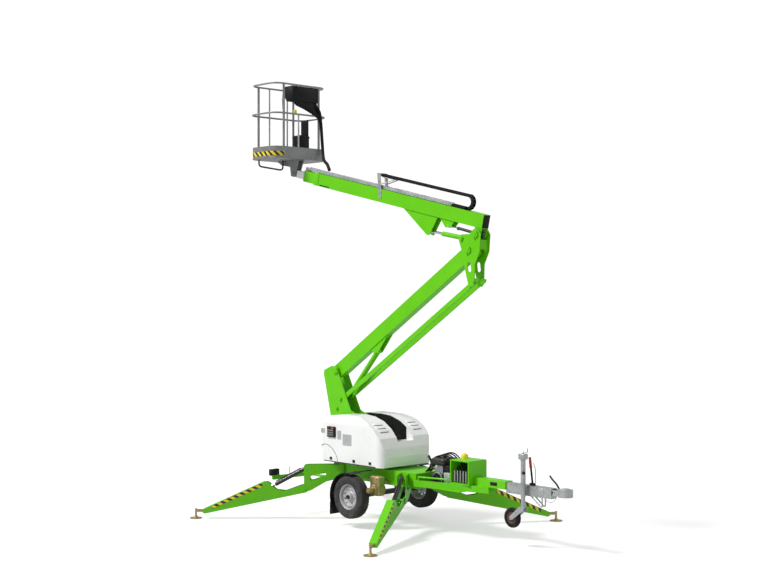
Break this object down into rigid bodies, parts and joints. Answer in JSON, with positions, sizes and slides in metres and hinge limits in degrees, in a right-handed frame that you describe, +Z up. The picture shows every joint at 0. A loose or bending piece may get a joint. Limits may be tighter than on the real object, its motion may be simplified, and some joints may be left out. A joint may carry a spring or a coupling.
{
  "type": "towable articulated boom lift",
  "caption": "Trailer mounted articulated boom lift on its four outriggers, lime green booms raised in a Z to a steel basket, white covers, road wheels and tow hitch.",
  "frame": {"origin": "centre of the whole machine's outline on the ground", "axes": "+X forward to the tow hitch, +Y to the left, +Z up; the pads stand on z 0"},
  "size_m": [6.285, 4.0596, 6.885],
  "materials": {
    "green_paint": "gloss lime green",
    "white_shell": "gloss white",
    "galvanised": "dull zinc",
    "black_steel": "satin black",
    "black_plastic": "matt black",
    "rubber": "matt",
    "tyre": "matt",
    "rim_paint": "satin silver",
    "rod_chrome": "polished",
    "yellow_zinc": "yellow zinc plate",
    "lamp_red": "clear orange red"
  },
  "bodies": {
    "chassis": {"chassis_frame": "green_paint", "drawbar": "green_paint", "axle": "black_steel", "mudguards": "black_plastic", "light_bar": "green_paint", "rear_lamps": "lamp_red", "traction_drives": "yellow_zinc", "power_pack": "black_steel", "pack_box": "green_paint", "guard_rails": "green_paint", "coupling": "galvanised", "jockey_post": "galvanised", "brake_lever": "black_plastic"},
    "wheel_near": {"tyre_near": "tyre", "rim_near": "rim_paint"},
    "wheel_far": {"tyre_far": "tyre", "rim_far": "rim_paint"},
    "jockey_slide": {"jockey_leg": "galvanised"},
    "jockey_swivel": {"jockey_fork": "galvanised"},
    "jockey_roller": {"jockey_wheel": "rubber"},
    "slewing_tower": {"tower": "green_paint", "covers": "white_shell", "ground_panel": "black_plastic"},
    "low_boom": {"lower_boom": "green_paint"},
    "tie": {"tie_rods": "green_paint"},
    "low_cylinder": {"lower_barrel": "green_paint"},
    "low_piston": {"lower_rod": "rod_chrome"},
    "knuckle_frame": {"knuckle": "green_paint"},
    "up_cylinder": {"upper_barrel": "green_paint"},
    "up_piston": {"upper_rod": "rod_chrome"},
    "up_boom": {"upper_boom": "green_paint", "hose_chain": "black_plastic", "chain_bracket": "galvanised"},
    "fly": {"fly_boom": "green_paint", "push_tray": "galvanised", "boom_head": "galvanised"},
    "basket": {"basket_mount": "galvanised", "basket_floor": "galvanised", "basket_rails": "galvanised", "console": "black_plastic", "tool_box": "black_plastic", "step_bar": "black_steel", "hose_sleeve": "rubber"},
    "outrigger_rear_near": {"leg_rear_near": "green_paint", "foot_rear_near": "yellow_zinc"},
    "cylinder_rear_near": {"leg_barrel_rear_near": "black_steel"},
    "piston_rear_near": {"leg_rod_rear_near": "rod_chrome"},
    "outrigger_rear_far": {"leg_rear_far": "green_paint", "foot_rear_far": "yellow_zinc"},
    "cylinder_rear_far": {"leg_barrel_rear_far": "black_steel"},
    "piston_rear_far": {"leg_rod_rear_far": "rod_chrome"},
    "outrigger_front_near": {"leg_front_near": "green_paint", "foot_front_near": "yellow_zinc"},
    "cylinder_front_near": {"leg_barrel_front_near": "black_steel"},
    "piston_front_near": {"leg_rod_front_near": "rod_chrome"},
    "outrigger_front_far": {"leg_front_far": "green_paint", "foot_front_far": "yellow_zinc"},
    "cylinder_front_far": {"leg_barrel_front_far": "black_steel"},
    "piston_front_far": {"leg_rod_front_far": "rod_chrome"}
  },
  "joints": [
    {"name": "wheel_near_spin", "type": "hinge", "parent": "chassis", "child": "wheel_near", "pos_m": [-0.4175, -0.73, 0.465], "axis": [0, 1, 0], "continuous": true},
    {"name": "wheel_far_spin", "type": "hinge", "parent": "chassis", "child": "wheel_far", "pos_m": [-0.4175, 0.73, 0.465], "axis": [0, 1, 0], "continuous": true},
    {"name": "jockey_height", "type": "slide", "parent": "chassis", "child": "jockey_slide", "axis": [0, 0, 1], "range_m": [-0.25, 0.1]},
    {"name": "jockey_swivel_turn", "type": "hinge", "parent": "jockey_slide", "child": "jockey_swivel", "pos_m": [2.4025, -0.12, 0.6], "axis": [0, 0, 1], "continuous": true},
    {"name": "jockey_wheel_spin", "type": "hinge", "parent": "jockey_swivel", "child": "jockey_roller", "pos_m": [2.2125, -0.12, 0.41], "axis": [0, 1, 0], "continuous": true},
    {"name": "tower_slew", "type": "hinge", "parent": "chassis", "child": "slewing_tower", "pos_m": [-0.7075, 0, 0.86], "axis": [0, 0, 1], "range_deg": [-180, 180]},
    {"name": "lower_raise", "type": "hinge", "parent": "slewing_tower", "child": "low_boom", "pos_m": [-1.4675, 0, 2.26], "axis": [0, -1, 0], "range_deg": [-38, 38]},
    {"name": "tie_follow", "type": "hinge", "parent": "slewing_tower", "child": "tie", "pos_m": [-1.3575, 0, 1.82], "axis": [0, -1, 0], "range_deg": [-38, 38]},
    {"name": "knuckle_level", "type": "hinge", "parent": "low_boom", "child": "knuckle_frame", "pos_m": [1.3725, 0, 4.1], "axis": [0, 1, 0], "range_deg": [-38, 38]},
    {"name": "lower_cylinder_tilt", "type": "hinge", "parent": "low_boom", "child": "low_cylinder", "pos_m": [-0.6075, 0, 2.6], "axis": [0, -1, 0], "range_deg": [-13.35, 13.35]},
    {"name": "lower_cylinder_extend", "type": "slide", "parent": "low_cylinder", "child": "low_piston", "axis": [-0.6681, 0, -0.7441], "range_m": [-0.27443, 0.27443]},
    {"name": "upper_raise", "type": "hinge", "parent": "knuckle_frame", "child": "up_boom", "pos_m": [1.5125, 0, 4.32], "axis": [0, 1, 0], "range_deg": [-1, 62]},
    {"name": "upper_cylinder_tilt", "type": "hinge", "parent": "knuckle_frame", "child": "up_cylinder", "pos_m": [1.2425, 0, 4.27], "axis": [0, 1, 0], "range_deg": [-1.7, 74.88]},
    {"name": "upper_cylinder_extend", "type": "slide", "parent": "up_cylinder", "child": "up_piston", "axis": [-0.9849, 0, 0.1734], "range_m": [-0.00851, 0.22274]},
    {"name": "fly_extend", "type": "slide", "parent": "up_boom", "child": "fly", "axis": [-0.9755, 0, 0.2198], "range_m": [0, 2.7]},
    {"name": "basket_level", "type": "hinge", "parent": "fly", "child": "basket", "pos_m": [-2.59087, 0, 5.4436], "axis": [0, -1, 0], "range_deg": [-1, 62]},
    {"name": "raise_rear_near", "type": "hinge", "parent": "chassis", "child": "outrigger_rear_near", "pos_m": [-1.4695, -0.737, 0.474], "axis": [-0.6959, 0.7181, 0], "range_deg": [0, 75]},
    {"name": "cylinder_tilt_rear_near", "type": "hinge", "parent": "chassis", "child": "cylinder_rear_near", "pos_m": [-1.45873, -0.72656, 0.79], "axis": [-0.6959, 0.7181, 0], "range_deg": [-0.5, 75.41]},
    {"name": "cylinder_extend_rear_near", "type": "slide", "parent": "cylinder_rear_near", "child": "piston_rear_near", "axis": [-0.6325, -0.613, -0.4735], "range_m": [-0.39097, 0.005]},
    {"name": "raise_rear_far", "type": "hinge", "parent": "chassis", "child": "outrigger_rear_far", "pos_m": [-1.4695, 0.737, 0.474], "axis": [0.6959, 0.7181, 0], "range_deg": [0, 75]},
    {"name": "cylinder_tilt_rear_far", "type": "hinge", "parent": "chassis", "child": "cylinder_rear_far", "pos_m": [-1.45873, 0.72656, 0.79], "axis": [0.6959, 0.7181, 0], "range_deg": [-0.5, 75.41]},
    {"name": "cylinder_extend_rear_far", "type": "slide", "parent": "cylinder_rear_far", "child": "piston_rear_far", "axis": [-0.6325, 0.613, -0.4735], "range_m": [-0.39097, 0.005]},
    {"name": "raise_front_near", "type": "hinge", "parent": "chassis", "child": "outrigger_front_near", "pos_m": [0.4025, -0.49, 0.474], "axis": [-0.8499, -0.527, 0], "range_deg": [0, 75]},
    {"name": "cylinder_tilt_front_near", "type": "hinge", "parent": "chassis", "child": "cylinder_front_near", "pos_m": [0.3946, -0.47725, 0.79], "axis": [-0.8499, -0.527, 0], "range_deg": [-0.5, 75.41]},
    {"name": "cylinder_extend_front_near", "type": "slide", "parent": "cylinder_front_near", "child": "piston_front_near", "axis": [0.4641, -0.7486, -0.4735], "range_m": [-0.39097, 0.005]},
    {"name": "raise_front_far", "type": "hinge", "parent": "chassis", "child": "outrigger_front_far", "pos_m": [0.4025, 0.49, 0.474], "axis": [0.8499, -0.527, 0], "range_deg": [0, 75]},
    {"name": "cylinder_tilt_front_far", "type": "hinge", "parent": "chassis", "child": "cylinder_front_far", "pos_m": [0.3946, 0.47725, 0.79], "axis": [0.8499, -0.527, 0], "range_deg": [-0.5, 75.41]},
    {"name": "cylinder_extend_front_far", "type": "slide", "parent": "cylinder_front_far", "child": "piston_front_far", "axis": [0.4641, 0.7486, -0.4735], "range_m": [-0.39097, 0.005]}
  ],
  "couplings": [
    {"joint": "tie_follow", "follows": "lower_raise", "ratio": 1},
    {"joint": "knuckle_level", "follows": "lower_raise", "ratio": 1},
    {"joint": "lower_cylinder_tilt", "follows": "lower_raise", "ratio": -0.33826},
    {"joint": "lower_cylinder_extend", "follows": "lower_raise", "m_per_rad": 0.40624},
    {"joint": "upper_cylinder_tilt", "follows": "upper_raise", "ratio": 1.1996},
    {"joint": "upper_cylinder_extend", "follows": "upper_raise", "m_per_rad": 0.20122},
    {"joint": "basket_level", "follows": "upper_raise", "ratio": 1},
    {"joint": "cylinder_tilt_rear_near", "follows": "raise_rear_near", "ratio": 0.99886},
    {"joint": "cylinder_extend_rear_near", "follows": "raise_rear_near", "m_per_rad": -0.29486},
    {"joint": "cylinder_tilt_rear_far", "follows": "raise_rear_far", "ratio": 0.99886},
    {"joint": "cylinder_extend_rear_far", "follows": "raise_rear_far", "m_per_rad": -0.29486},
    {"joint": "cylinder_tilt_front_near", "follows": "raise_front_near", "ratio": 0.99886},
    {"joint": "cylinder_extend_front_near", "follows": "raise_front_near", "m_per_rad": -0.29486},
    {"joint": "cylinder_tilt_front_far", "follows": "raise_front_far", "ratio": 0.99886},
    {"joint": "cylinder_extend_front_far", "follows": "raise_front_far", "m_per_rad": -0.29486}
  ]
}
